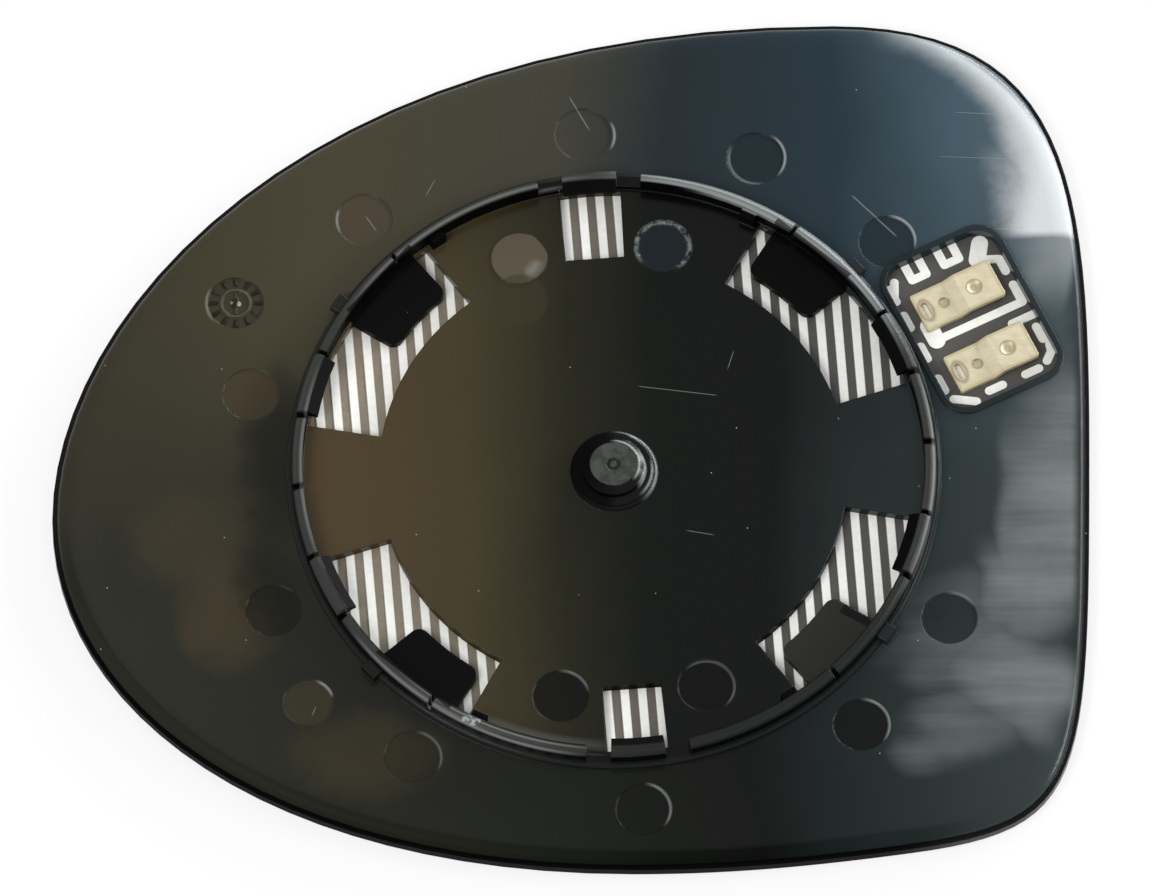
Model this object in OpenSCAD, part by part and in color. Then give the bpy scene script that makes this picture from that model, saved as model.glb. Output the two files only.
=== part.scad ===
// Heated door mirror glass, seen with its mirror side down and its back up.
// The origin is on the axis of the centre post, in the plane of the mirror face.
// One black moulding is glued to the back of the glass, with a heater film between them.
// Its round clip ring, hooks and centre post hold it on the mirror's adjuster.

/* [Outline] */
// Distance from the post to the pointed end
nose_x = 82.9; // [76:0.1:90]
// Height of the pointed end's furthest point, below the post
nose_y = 7; // [4:0.1:12]
// Pull of the curve upwards from the pointed end
nose_pull_up = 32.5; // [28:0.1:38]
// Pull of the curve downwards from the pointed end
nose_pull_down = 30.3; // [26:0.1:36]
// Place of the highest point, right of the post
crown_x = 32.4; // [28:0.1:38]
// Height of the highest point above the post
crown_y = 73.2; // [68:0.1:78]
// Pull of the curve from the highest point to the left
crown_pull_left = 79.2; // [74:0.1:84]
// Pull of the curve from the highest point to the right
crown_pull_right = 35.2; // [31:0.1:38]
// Distance from the post to the side that bulges least
side_x = 70.3; // [68:0.1:76]
// Height of that side's furthest point above the post
side_y = 4.5; // [0:0.1:9]
// Pull of the curve upwards from that side
side_pull_up = 43.5; // [38:0.1:48]
// Pull of the curve downwards from that side
side_pull_down = 54; // [48:0.1:56]
// Place of the point where the lower corner runs out, right of the post
heel_x = 43.8; // [40:0.1:48]
// Depth of that point below the post
heel_y = 60.5; // [58:0.1:62]
// Slope of the outline at that point
heel_turn = 8.3; // [5:0.1:12]
// Pull of the curve from that point to the corner
heel_pull_right = 26.4; // [22:0.1:28]
// Pull of the curve from that point to the left
heel_pull_left = 15.3; // [12:0.1:18]
// Place of the lowest point, right of the post
foot_x = 2.8; // [0:0.1:6]
// Depth of the lowest point below the post
foot_y = 63.9; // [62:0.1:72]
// Pull of the curve from the lowest point to the right
foot_pull_right = 14.3; // [10:0.1:18]
// Pull of the curve from the lowest point to the left
foot_pull_left = 53.9; // [48:0.1:58]

/* [Glass and heater film] */
// Thickness of the glass
glass_t = 2; // [1.6:0.1:3]
// Ground edge of the glass
glass_edge = 0.3; // [0.1:0.05:0.5]
// Gap between the glass and the rim round it
glass_gap = 0.15; // [0.1:0.05:0.4]
// Thickness of the heater film with its adhesive
film_t = 0.2; // [0.1:0.05:0.4]
// Distance from the edge of the glass to the edge of the film
film_margin = 1.5; // [0.5:0.1:3]
// Thickness of the printed conductor on the film
track_t = 0.1; // [0.05:0.01:0.15]
// Width of one conductor stripe
stripe_w = 1.35; // [0.9:0.05:1.7]
// Distance from one stripe to the next
stripe_pitch = 2.58; // [2.3:0.02:3]
// Sideways place of the first stripe
stripe_phase = -1.11; // [-1.25:0.01:1.25]
// Lean of the stripes from the upright
stripe_lean = 4.5; // [0:0.5:10]
// Distance from the edge of the film to the turns of the stripes
stripe_margin = 1.5; // [0.8:0.1:3]

/* [Backing plate] */
// Thickness of the plate's field
plate_t = 1.6; // [1.5:0.1:2.4]
// Width of the rim that stands round the glass
rim_w = 1.2; // [0.8:0.1:1.6]
// Height of the mirror face beyond the rim
rim_recess = 0.6; // [0.3:0.1:0.9]
// Width of the rolled edge
roll_w = 4; // [2.6:0.1:4.4]
// Drop of the rolled edge from the field to the ledge's step
roll_drop = 1.4; // [0.8:0.1:1.6]
// Width of the ledge that runs round outside the rolled edge
ledge_w = 0.7; // [0.4:0.1:1]
// Step down from the rolled edge to the ledge
ledge_drop = 0.4; // [0.2:0.1:0.6]

/* [Clip ring] */
// Outer radius of the ring's wall
ring_r = 47.6; // [47:0.1:48]
// Thickness of the ring's wall
ring_wall = 1.7; // [1.3:0.1:2]
// Height of the ring's wall above the field
ring_h = 3; // [2.8:0.1:6]
// Width of the step at the foot of the wall
ring_step_w = 0.8; // [0.4:0.1:1.2]
// Height of the step at the foot of the wall
ring_step_h = 0.8; // [0.5:0.1:1.2]
// Bevel on the wall's outer top corner
ring_bevel = 0.7; // [0.3:0.1:0.7]
// Turn of the ring's line of symmetry, from the right-hand direction
ring_turn = 94.5; // [85:0.5:100]
// Angle from the line of symmetry to the joint in the wall
joint_at = 39.5; // [38.5:0.5:40.5]
// Width of the joint in the wall
joint_w = 0.8; // [0.5:0.1:1.2]
// Angle from the line of symmetry to the stop blocks inside the wall
stop_at = 30.5; // [28:0.5:32]
// Length of a stop block round the ring, in degrees
stop_span = 3; // [2:0.5:4]
// How far a stop block stands inwards from the wall
stop_depth = 1.2; // [0.8:0.1:1.6]
// Angle from the line of symmetry to the ribs outside the wall
rib_at = 52; // [48:0.5:54]
// Length of an outside rib round the ring, in degrees
rib_span = 3.2; // [2:0.1:4]
// Width of the notch across the wall at each side
notch_w = 1.1; // [0.6:0.1:1.5]
// Depth of the notch from the wall's top
notch_depth = 1.8; // [1:0.1:2.2]

/* [Hooks] */
// Length of a small hook round the ring, in degrees
small_hook_span = 9.9; // [8:0.1:11]
// Length of a big hook round the ring, in degrees
big_hook_span = 11.7; // [10:0.1:12]
// Angle from the line of symmetry to a big hook
big_hook_at = 69.3; // [69:0.1:69.6]
// Clear slot on each side of a small hook, in degrees
small_slot = 4.5; // [3:0.1:5]
// Clear slot on each side of a big hook, in degrees
big_slot = 1.2; // [0.8:0.1:1.4]
// How far a hook's nose stands inwards from the wall
nose_reach = 1.5; // [0.8:0.1:2]
// Height of the catch under a hook's nose, above the field
catch_h = 1.8; // [1.4:0.1:2]
// Height of a hook above the ring's wall
hook_rise = 0.4; // [0:0.1:1]
// Flat land left on a hook's top
hook_land = 0.9; // [0.6:0.1:1]

/* [Windows and tongues] */
// Inner radius of the six windows
window_r = 34.7; // [33:0.1:36]
// Width of the land between a window and the ring's wall
window_land = 0.4; // [0.2:0.05:0.8]
// Width of a small window at its inner end
small_window_w = 8.6; // [8:0.1:10]
// Spread of a small window's sides, from its inner end to its outer end
small_window_spread = 0.6; // [0:0.1:1.2]
// Length of a big window round the ring, in degrees
big_window_span = 43.2; // [42:0.2:44]
// Angle from the line of symmetry to the middle of a big window
big_window_at = 54.5; // [54:0.1:55]
// Inner radius of a tongue's end
tongue_r = 37.9; // [37:0.1:40]
// Length of a tongue round the ring, in degrees
tongue_span = 17.6; // [16:0.2:19]
// Angle from the line of symmetry to the middle of a tongue
tongue_at = 44.6; // [44:0.1:45]
// Thickness of a tongue
tongue_t = 1.2; // [0.8:0.1:1.4]
// Corner radius of a tongue's end
tongue_corner = 1.6; // [0.8:0.1:2.2]

/* [Centre post] */
// Radius of the post's foot
post_foot_r = 6.4; // [6.1:0.1:7]
// Radius of the collar above the foot
post_collar_r = 5.9; // [5.4:0.1:6]
// Radius of the round pin that guides the adjuster
post_r = 4.7; // [4.4:0.1:5]
// Radius of the flat top of the post
post_top_r = 3.7; // [3.4:0.1:4.2]
// Height of the collar
post_collar_h = 0.8; // [0.7:0.1:1.6]
// Length of the round pin
post_pin_h = 1; // [0.8:0.1:4]
// Radius of the gate mark on the post's top
gate_r = 1; // [0.6:0.1:1.4]

/* [Terminals] */
// Place of the terminal window, right of the post
terminal_x = 52.9; // [52.4:0.1:53.2]
// Place of the terminal window, above the post
terminal_y = 24.7; // [24:0.1:25.6]
// Turn of the terminal window
terminal_turn = 26.5; // [24:0.5:28]
// Corner radius of the terminal window
terminal_window_corner = 3.4; // [2:0.1:5]
// Width of the lip round the terminal window
terminal_lip_w = 0.9; // [0.5:0.1:1.1]
// Height of the lip round the terminal window
terminal_lip_h = 0.4; // [0.2:0.1:0.8]
// Length of a terminal tab
tab_l = 12.9; // [12:0.1:13.4]
// Width of a terminal tab
tab_w = 6.3; // [5.8:0.1:6.6]
// Thickness of a terminal tab
tab_t = 0.8; // [0.6:0.05:0.9]
// Distance between the two tabs, middle to middle
tab_pitch = 11.1; // [10.6:0.1:11.6]
// Space between a tab's ends and the window's sides
tab_end_gap = 2.55; // [2.2:0.05:2.7]
// Space between the upper tab and the window's upper side
tab_upper_gap = 5.1; // [4.6:0.1:5.4]
// Space between the lower tab and the window's lower side
tab_lower_gap = 3.3; // [3:0.1:3.5]
// Length of a tab's foot on the film
tab_foot_l = 5.6; // [5.2:0.1:6]
// Height of a tab's free end above its foot
tab_lift = 0.8; // [0.6:0.1:1.4]
// Diameter of the detent dimple in a tab
detent_d = 2.2; // [1.6:0.1:2.4]
// Length of the slot in a tab's foot
slot_l = 2.8; // [2:0.1:3.4]
// Width of the slot in a tab's foot
slot_w = 1; // [0.7:0.1:1.2]

/* [Moulding marks] */
// Radius of the round ejector marks
mark_r = 4.15; // [3.6:0.05:4.3]
// Depth of the ejector marks
mark_depth = 0.15; // [0.1:0.05:0.3]
// Distance of the outer ejector marks from the post
mark_outer_at = 55; // [54.4:0.1:55.6]
// Distance of the inner ejector marks from the post
mark_inner_at = 37.3; // [36.6:0.1:38]
// Place of the date dial, left of the post
dial_x = 55.8; // [55:0.1:57]
// Place of the date dial, above the post
dial_y = 27.4; // [26.5:0.1:28]
// Radius of the date dial
dial_r = 4.1; // [3.6:0.1:4.4]
// Depth of the date dial's marks
dial_depth = 0.15; // [0.1:0.05:0.3]

/* [Hidden] */
$fn = 96;

// Small overlap that joins parts of one moulding, and overshoot of a cut
joined = 0.5;
through = 1;

// Steps along each curve of the outline, and across the rolled edge
curve_steps = 24;
roll_steps = 6;

// Heights above the mirror face
film_z = glass_t;
track_z = film_z + film_t;
plate_z = track_z + track_t;
field_z = plate_z + plate_t;
roll_z = field_z - roll_drop;
ring_z = field_z + ring_h;
hook_z = ring_z + hook_rise;
step_middle_z = field_z + ring_step_h / 2;
tab_z = track_z + track_t;

// Distances inwards from the outline
glass_inset = rim_w + glass_gap;
film_inset = glass_inset + film_margin;
track_inset = film_inset + stripe_margin;

// The outline's five curves, each with its ends and the two points that pull it
nose = [-nose_x, -nose_y];
crown = [crown_x, crown_y];
flank = [side_x, side_y];
heel = [heel_x, -heel_y];
heel_way = [cos(heel_turn), sin(heel_turn)];
foot = [foot_x, -foot_y];
CURVES = [
    [nose, nose + [0, nose_pull_up], crown - [crown_pull_left, 0], crown],
    [crown, crown + [crown_pull_right, 0], flank + [0, side_pull_up], flank],
    [flank, flank - [0, side_pull_down], heel + heel_pull_right * heel_way, heel],
    [heel, heel - heel_pull_left * heel_way, foot + [foot_pull_right, 0], foot],
    [foot, foot - [foot_pull_left, 0], nose - [0, nose_pull_down], nose]
];

// Radii of the ring
ring_inner = ring_r - ring_wall;
hook_inner = ring_inner - nose_reach;

// Angles of the outer and inner ejector marks, as the ejector pins stand in the mould
OUTER_MARKS = [67.7, 42.8, 94.7, 131.9, 166.8, 204.2, 237.3, 274.7, 311.7, 334.4];
INNER_MARKS = [78.7, 257.9, 291.5];
RAISED_MARK = 112;
CORNER_MARK = [-45.1, -37.5];
corner_mark_r = 3.7;

// The terminal window follows the two tabs
terminal_window_w = tab_l + 2 * tab_end_gap;
terminal_window_h = tab_pitch + tab_w + tab_upper_gap + tab_lower_gap;

// Stripes: bare width round the terminal window, number to each side of the post, and reach
stripe_keepout = 1.6;
stripe_count = ceil((nose_x + crown_y) / stripe_pitch);
stripe_reach = nose_x + crown_y;

// Conductors in the terminal window: width, straight length of a border dash, and how far a pad
// stays inside the outline of the tab's foot
lead_w = 1.3;
dash_l = 2.2;
pad_inset = 0.2;

// Border dashes: those at the sides from the window's upper side, the lower ones from its left
LEFT_DASHES = [3.6, 8.3, 13.9, 19.7];
RIGHT_DASHES = [6.3, 18.6];
LOWER_DASHES = [7.6, 13.6];

// Leads in three corners: the corner's two sides, and points inwards from it as shares of its radius
CORNER_LEADS = [
    [-1, 1, [[0, 1], [0.33, 0.33]]],
    [-1, -1, [[0.17, 0.33], [1, -0.2]]],
    [1, -1, [[-0.2, 1], [-0.07, 0.5], [0.3, 0.17]]]
];

// How far the lower dashes stay clear of the window's lower side, which hides the film there
lower_clear = 2.05;

// Loops from the window's upper side: middle, half width, and rise above the upper tab
LOOPS = [[-3.5, 1.15, 2.5], [1.9, 1.2, 2.6]];

// Rise of the upper lead's right end, and of the lower lead above the lower tab
lead_rise = 3.1;
lower_lead_rise = 0.7;

// The last loop's wide spots: place of each from the window's middle, height above the tab, width
BLOB_LOW = [5.4, 1.2];
BLOB_HIGH = [6.9, 3.4];
blob_w = 2.5;

// Tabs: length of the ramp, corner, and place of the detent hole from the tip
tab_ramp = 1.6;
tab_corner = 0.4;
detent_from_tip = 3.7;
detent_depth = 0.35;

// Slot and dimple in a tab's foot, each with its distance from the foot's end
slot_from_end = 1.3;
dimple_from_end = 4.2;
dimple_d = 1.5;
dimple_depth = 0.25;

// Ring: how far the outside ribs stand out from the step, and the height of a hook's nose
rib_proud = 0.9;
nose_tip = 0.5;

// Post: height of each small step and of the top bevel, depth of the gate mark, and the top
post_step_h = 0.3;
post_bevel_h = 0.7;
gate_depth = 0.2;
post_top_z = field_z + post_collar_h + post_step_h + post_pin_h + post_bevel_h;

// Date dial: ticks, bare border, gap inside the ticks, and the pointer's reach
dial_ticks = 12;
tick_w = 0.35;
tick_l = 1;
dial_border = 0.25;
dial_gap = 0.55;
pointer_reach = 1.7;

// Plane sections of the ring's wall and of a hook, as [radius, height]
WALL_SECTION = [
    [ring_inner, step_middle_z],
    [ring_r, step_middle_z],
    [ring_r, ring_z - ring_bevel],
    [ring_r - ring_bevel, ring_z],
    [ring_inner, ring_z]
];

// Stretches of wall from the small hook round to the side, as angles from the line of symmetry
joint_span = joint_w / ring_r * 180 / PI;
WALL_SPANS = [
    [small_hook_span / 2 + small_slot, joint_at - joint_span / 2],
    [joint_at + joint_span / 2, big_hook_at - big_hook_span / 2 - big_slot],
    [big_hook_at + big_hook_span / 2 + big_slot, 90]
];

// A hook has a flat land, a sloping lead-in, a nose and a catch
HOOK_SECTION = [
    [ring_inner, step_middle_z],
    [ring_r, step_middle_z],
    [ring_r, hook_z - ring_bevel],
    [ring_r - ring_bevel, hook_z],
    [ring_r - ring_bevel - hook_land, hook_z],
    [hook_inner, field_z + catch_h + nose_tip],
    [hook_inner, field_z + catch_h],
    [ring_inner, field_z + catch_h]
];

// Point on a curve, and the direction of the curve there
function curve_point(q, t) =
    pow(1 - t, 3) * q[0] + 3 * pow(1 - t, 2) * t * q[1]
    + 3 * (1 - t) * t * t * q[2] + pow(t, 3) * q[3];
function curve_slope(q, t) =
    pow(1 - t, 2) * (q[1] - q[0]) + 2 * (1 - t) * t * (q[2] - q[1]) + t * t * (q[3] - q[2]);

// Point on the outline, moved inwards at right angles to it
function inset_point(q, t, inset) =
    let (d = curve_slope(q, t))
    curve_point(q, t) + inset * [d.y, -d.x] / norm(d);

// The outline clockwise from the nose, moved inwards all round
function outline(inset) = [
    for (q = CURVES)
        for (i = [0:curve_steps - 1])
            inset_point(q, i / curve_steps, inset)
];

// Faces between two rings of n points, and the ring numbers
function band_faces(n, a, b) = [
    for (i = [0:n - 1]) let (j = (i + 1) % n) [a * n + i, a * n + j, b * n + j, b * n + i]
];

// A closed section of [inset, height] points, carried once round the outline
module swept_rim(section) {
    n = len(outline(0));
    m = len(section);
    polyhedron(
        points = [for (s = section) for (p = outline(s[0])) [p.x, p.y, s[1]]],
        faces = [for (k = [0:m - 1]) each band_faces(n, k, (k + 1) % m)],
        convexity = 6
    );
}

// A solid of [inset, height] levels from the bottom up, closed at both ends
module swept_solid(levels) {
    n = len(outline(0));
    m = len(levels);
    polyhedron(
        points = [for (s = levels) for (p = outline(s[0])) [p.x, p.y, s[1]]],
        faces = [
            [for (i = [0:n - 1]) n - 1 - i],
            [for (i = [0:n - 1]) (m - 1) * n + i],
            for (k = [0:m - 2]) each band_faces(n, k, k + 1)
        ],
        convexity = 4
    );
}

// Plane shape that covers a circle's sector, up to half a turn
module wedge(r, middle, span) {
    far = r / cos(span / 2);
    polygon([[0, 0], for (a = [-span / 2, 0, span / 2]) far * [cos(middle + a), sin(middle + a)]]);
}

// Plane shape of a stretch of a ring
module arc_band(inner, outer, middle, span) {
    intersection() {
        difference() {
            circle(outer);
            circle(inner);
        }
        wedge(outer + through, middle, span);
    }
}

module rounded_rectangle(w, h, corner) {
    square([w, h - 2 * corner], center = true);
    square([w - 2 * corner, h], center = true);
    for (x = [-1, 1])
        for (y = [-1, 1])
            translate([x * (w / 2 - corner), y * (h / 2 - corner)])
                circle(corner);
}

// Places children on the ring's line of symmetry, at both its ends
module at_both_ends() {
    for (end = [0, 180])
        rotate(ring_turn + end)
            children();
}

// Places children on the ring, mirrored to both sides of both ends
module at_four_places(angle) {
    at_both_ends()
        for (side = [-1, 1])
            rotate(side * angle)
                children();
}

// Placed in the terminal window, turned with it
module in_terminal_window() {
    translate([terminal_x, terminal_y])
        rotate(terminal_turn)
            children();
}

module outline_shape(inset) {
    polygon(outline(inset));
}

// GLASS AND FILM

module mirror_glass() {
    color([0.62, 0.68, 0.72])
        swept_solid([
            [glass_inset + glass_edge, 0],
            [glass_inset, glass_edge],
            [glass_inset, glass_t - glass_edge],
            [glass_inset + glass_edge, glass_t]
        ]);
}

module heater_film() {
    color([0.28, 0.27, 0.26])
        translate([0, 0, film_z])
            linear_extrude(film_t)
                outline_shape(film_inset);
}

// HEATER TRACK

module stripe_rows() {
    rotate(stripe_lean)
        for (i = [-stripe_count:stripe_count])
            translate([stripe_phase + i * stripe_pitch - stripe_w / 2, -stripe_reach])
                square([stripe_w, 2 * stripe_reach]);
}

// Turns that join the stripes in pairs: even gaps at their upper ends, odd gaps at their lower
module stripe_turns() {
    rotate(stripe_lean)
        for (i = [-stripe_count:stripe_count])
            translate([stripe_phase + i * stripe_pitch, i % 2 == 0 ? 0 : -stripe_reach])
                square([stripe_pitch, stripe_reach]);
}

module stripe_field() {
    difference() {
        union() {
            intersection() {
                outline_shape(track_inset);
                stripe_rows();
            }
            intersection() {
                difference() {
                    outline_shape(track_inset);
                    outline_shape(track_inset + stripe_w);
                }
                stripe_turns();
            }
        }
        in_terminal_window()
            rounded_rectangle(terminal_window_w + 2 * stripe_keepout,
                terminal_window_h + 2 * stripe_keepout, terminal_window_corner + stripe_keepout);
    }
}

module heater_track() {
    color([0.93, 0.92, 0.88])
        translate([0, 0, track_z])
            linear_extrude(track_t) {
                stripe_field();
                terminal_tracks();
            }
}

// A conductor with round ends, from one point to another
module lead(a, b, w = lead_w) {
    d = b - a;
    translate(a)
        rotate(atan2(d.y, d.x)) {
            translate([0, -w / 2])
                square([norm(d), w]);
            circle(w / 2);
            translate([norm(d), 0])
                circle(w / 2);
        }
}

// A lead with bends, from point to point
module bent_lead(points) {
    for (i = [1:len(points) - 1])
        lead(points[i - 1], points[i]);
}

// Middle of a terminal tab, in the window's own directions
function tab_middle(side) = [0, (side * tab_pitch - tab_upper_gap + tab_lower_gap) / 2];

// Pads under the feet of the two tabs
module tab_pads() {
    for (side = [-1, 1])
        translate(tab_middle(side) - [tab_l / 2 - pad_inset, tab_w / 2 - pad_inset])
            square([tab_foot_l - 2 * pad_inset, tab_w - 2 * pad_inset]);
}

// One loop of the conductor, hanging from the window's upper side
module hanging_loop(x, half_gap, rise) {
    top = terminal_window_h / 2 + lead_w;
    y = tab_middle(1).y + tab_w / 2 + rise;
    bent_lead([[x - half_gap, top], [x - half_gap, y], [x + half_gap, y], [x + half_gap, top]]);
}

// One dash of the conductor, about its middle
module dash(middle, turn) {
    translate(middle)
        rotate(turn)
            lead([-dash_l / 2, 0], [dash_l / 2, 0]);
}

// Dashes of the conductor's border along the window's left, right and lower sides
module border_dashes() {
    left = -terminal_window_w / 2 + lead_w / 2;
    right = terminal_window_w / 2 - lead_w / 2;
    high = terminal_window_h / 2;
    low = -high + lower_clear;
    for (d = LEFT_DASHES)
        dash([left, high - d], 90);
    for (d = RIGHT_DASHES)
        dash([right, high - d], 90);
    for (d = LOWER_DASHES)
        dash([d - terminal_window_w / 2, low], 0);
}

// Leads that follow three of the window's corners
module corner_leads() {
    for (c = CORNER_LEADS)
        translate([
            c[0] * (terminal_window_w - lead_w) / 2,
            c[1] * (terminal_window_h / 2 - (c[1] > 0 ? lead_w / 2 : lower_clear))
        ])
            bent_lead([for (p = c[2]) -terminal_window_corner * [c[0] * p.x, c[1] * p.y]]);
}

// From the upper tab's left end, between the tabs and up on the right
module upper_lead() {
    right = terminal_window_w / 2 - lead_w / 2;
    y = tab_middle(1).y - tab_w / 2 - 1.2 * lead_w;
    bent_lead([[right, y + lead_rise], [right, y], [-tab_l / 2, y]]);
    lead([-tab_l / 2 + lead_w / 2, y], [-tab_l / 2 + lead_w / 2, y + 2 * lead_w], 2 * lead_w);
}

// From the lower tab's pad under its blade, then out above it to the right
module lower_lead() {
    pad = tab_middle(-1) - [tab_l / 2 - tab_foot_l / 2, 0];
    y = pad.y + tab_w / 2 + lower_lead_rise;
    bent_lead([pad, [BLOB_LOW.x, pad.y], [BLOB_LOW.x, y], [terminal_window_w / 2, y]]);
}

// From the upper tab's pad under its blade to the last loop's wide spots, and on to a dash
module upper_blob() {
    pad = tab_middle(1) - [tab_l / 2 - tab_foot_l / 2, 0];
    edge = [0, pad.y + tab_w / 2];
    dash_end = [(terminal_window_w - lead_w) / 2,
        (terminal_window_h + dash_l) / 2 - RIGHT_DASHES[0]];
    lead(edge + BLOB_LOW, edge + BLOB_HIGH, blob_w);
    bent_lead([pad, [BLOB_LOW.x, pad.y], edge + BLOB_LOW, dash_end]);
}

module terminal_tracks() {
    in_terminal_window() {
        tab_pads();
        for (p = LOOPS)
            hanging_loop(p[0], p[1], p[2]);
        border_dashes();
        corner_leads();
        upper_lead();
        lower_lead();
        upper_blob();
    }
}

// BACKING PLATE

// The edge that rolls over from the field, down to a ledge, and stands round the glass
module rolled_rim() {
    swept_rim(concat(
        [
            [roll_w + joined, plate_z],
            [rim_w, plate_z],
            [rim_w, rim_recess],
            [0, rim_recess],
            [0, roll_z - ledge_drop],
            [ledge_w, roll_z - ledge_drop]
        ],
        [
            for (i = [0:roll_steps])
                let (a = 90 * i / roll_steps)
                [roll_w - (roll_w - ledge_w) * cos(a), roll_z + roll_drop * sin(a)]
        ],
        [[roll_w + joined, field_z]]
    ));
}

// A stretch of the ring, turned from a plane section of [radius, height]
module turned(section, middle, span) {
    rotate_extrude(angle = span, start = middle - span / 2)
        polygon(section);
}

// The low step that runs all round the ring
module ring_step() {
    rotate_extrude()
        polygon([
            [ring_inner, field_z - joined],
            [ring_r + ring_step_w, field_z - joined],
            [ring_r + ring_step_w, step_middle_z],
            [ring_r + ring_step_w / 2, field_z + ring_step_h],
            [ring_inner, field_z + ring_step_h]
        ]);
}

module ring_walls() {
    at_both_ends()
        for (side = [-1, 1])
            for (s = WALL_SPANS)
                turned(WALL_SECTION, side * (s[0] + s[1]) / 2, s[1] - s[0]);
}

// Cuts across the wall at its two sides
module side_notches() {
    at_both_ends()
        rotate(90)
            translate([ring_inner - stop_depth, -notch_w / 2, ring_z - notch_depth])
                cube([ring_wall + 2 * stop_depth, notch_w, notch_depth + through]);
}

// Blocks that stop the adjuster's plate, inside the wall
module stop_blocks() {
    at_four_places(stop_at)
        translate([0, 0, field_z - joined])
            linear_extrude(ring_h + joined - ring_bevel)
                arc_band(ring_inner - stop_depth, ring_r - ring_bevel, 0, stop_span);
}

// Short ribs on the outside of the wall, behind the tongues
module outside_ribs() {
    at_four_places(rib_at)
        translate([0, 0, field_z - joined])
            linear_extrude(ring_h / 2 + joined)
                arc_band(ring_r - ring_bevel, ring_r + ring_step_w + rib_proud, 0, rib_span);
}

// A hook leans over the window inside it: flat land, sloping lead-in, nose and catch
module hooks() {
    at_both_ends() {
        turned(HOOK_SECTION, 0, small_hook_span);
        for (side = [-1, 1])
            turned(HOOK_SECTION, side * big_hook_at, big_hook_span);
    }
}

// The nearly parallel sides of a small window
module small_window_sides() {
    inner = small_window_w / 2;
    outer = inner + small_window_spread / 2;
    polygon([[window_r, -inner], [ring_inner, -outer], [ring_inner, outer], [window_r, inner]]);
}

// Cuts through the field for the film to show and the hooks' mould cores to pass
module window_shapes() {
    at_both_ends() {
        intersection() {
            arc_band(window_r, ring_inner - window_land, 0, big_window_span);
            small_window_sides();
        }
        for (side = [-1, 1])
            arc_band(window_r, ring_inner - window_land, side * big_window_at, big_window_span);
    }
}

// A tongue's plane shape: it widens from its rounded end to its root under the ring
module tongue_shape() {
    corner_turn = asin(tongue_corner / (tongue_r + tongue_corner));
    arc_band(tongue_r + tongue_corner, ring_inner + joined, 0, tongue_span);
    arc_band(tongue_r, tongue_r + 2 * tongue_corner, 0, tongue_span - 2 * corner_turn);
    for (side = [-1, 1])
        rotate(side * (tongue_span / 2 - corner_turn))
            translate([tongue_r + tongue_corner, 0])
                circle(tongue_corner);
}

module tongues() {
    translate([0, 0, field_z - tongue_t])
        linear_extrude(tongue_t)
            at_four_places(tongue_at)
                tongue_shape();
}

// The centre post, turned in one: foot, collar, pin and bevelled top
module centre_post() {
    collar_z = field_z + post_collar_h;
    pin_z = collar_z + post_step_h;
    rotate_extrude()
        polygon([
            [0, field_z - joined],
            [post_foot_r, field_z - joined],
            [post_foot_r, field_z + post_step_h],
            [post_collar_r, field_z + post_step_h + (post_foot_r - post_collar_r) / 2],
            [post_collar_r, collar_z],
            [post_r, pin_z],
            [post_r, pin_z + post_pin_h],
            [post_top_r, post_top_z],
            [gate_r, post_top_z],
            [gate_r, post_top_z - gate_depth],
            [gate_r / 2, post_top_z - gate_depth],
            [gate_r / 2, post_top_z],
            [0, post_top_z]
        ]);
}

// Raised lip round the terminal window
module terminal_lip() {
    translate([0, 0, field_z - joined])
        linear_extrude(terminal_lip_h + joined)
            difference() {
                in_terminal_window()
                    rounded_rectangle(terminal_window_w + 2 * terminal_lip_w,
                        terminal_window_h + 2 * terminal_lip_w,
                        terminal_window_corner + terminal_lip_w);
                terminal_opening();
            }
}

module terminal_opening() {
    in_terminal_window()
        rounded_rectangle(terminal_window_w, terminal_window_h, terminal_window_corner);
}

// Round marks that the mould's ejector pins leave
module ejector_marks() {
    for (a = OUTER_MARKS)
        rotate(a)
            translate([mark_outer_at, 0])
                circle(mark_r);
    for (a = INNER_MARKS)
        rotate(a)
            translate([mark_inner_at, 0])
                circle(mark_r);
    translate(CORNER_MARK)
        circle(corner_mark_r);
}

module raised_mark() {
    rotate(RAISED_MARK)
        translate([mark_inner_at, 0, field_z - joined])
            cylinder(r = mark_r, h = joined + mark_depth);
}

// Date dial: a sunk disc with twelve ticks, an inner ring and a pointer left standing in it
module dial_relief() {
    tick_at = dial_r - dial_border - tick_l;
    ring = tick_at - dial_gap;
    for (i = [1:dial_ticks])
        rotate(i * 360 / dial_ticks)
            translate([tick_at, -tick_w / 2])
                square([tick_l, tick_w]);
    difference() {
        circle(ring);
        circle(ring - tick_w);
    }
    translate([-tick_w / 2, -pointer_reach])
        square([tick_w, 1.5 * pointer_reach]);
    polygon([[-1.5 * tick_w, 0], [1.5 * tick_w, 0], [0, pointer_reach]]);
}

module dial_cut() {
    translate([-dial_x, dial_y, field_z - dial_depth])
        linear_extrude(dial_depth + through)
            difference() {
                circle(dial_r);
                dial_relief();
            }
}

module plate_field() {
    difference() {
        translate([0, 0, plate_z])
            linear_extrude(plate_t)
                difference() {
                    outline_shape(roll_w);
                    window_shapes();
                    terminal_opening();
                }
        translate([0, 0, field_z - mark_depth])
            linear_extrude(mark_depth + through)
                ejector_marks();
        dial_cut();
    }
    raised_mark();
}

module backing_plate() {
    color([0.10, 0.11, 0.11]) {
        rolled_rim();
        plate_field();
        terminal_lip();
        tongues();
        ring_step();
        difference() {
            ring_walls();
            side_notches();
        }
        stop_blocks();
        outside_ribs();
        hooks();
        centre_post();
    }
}

// TERMINALS

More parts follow.
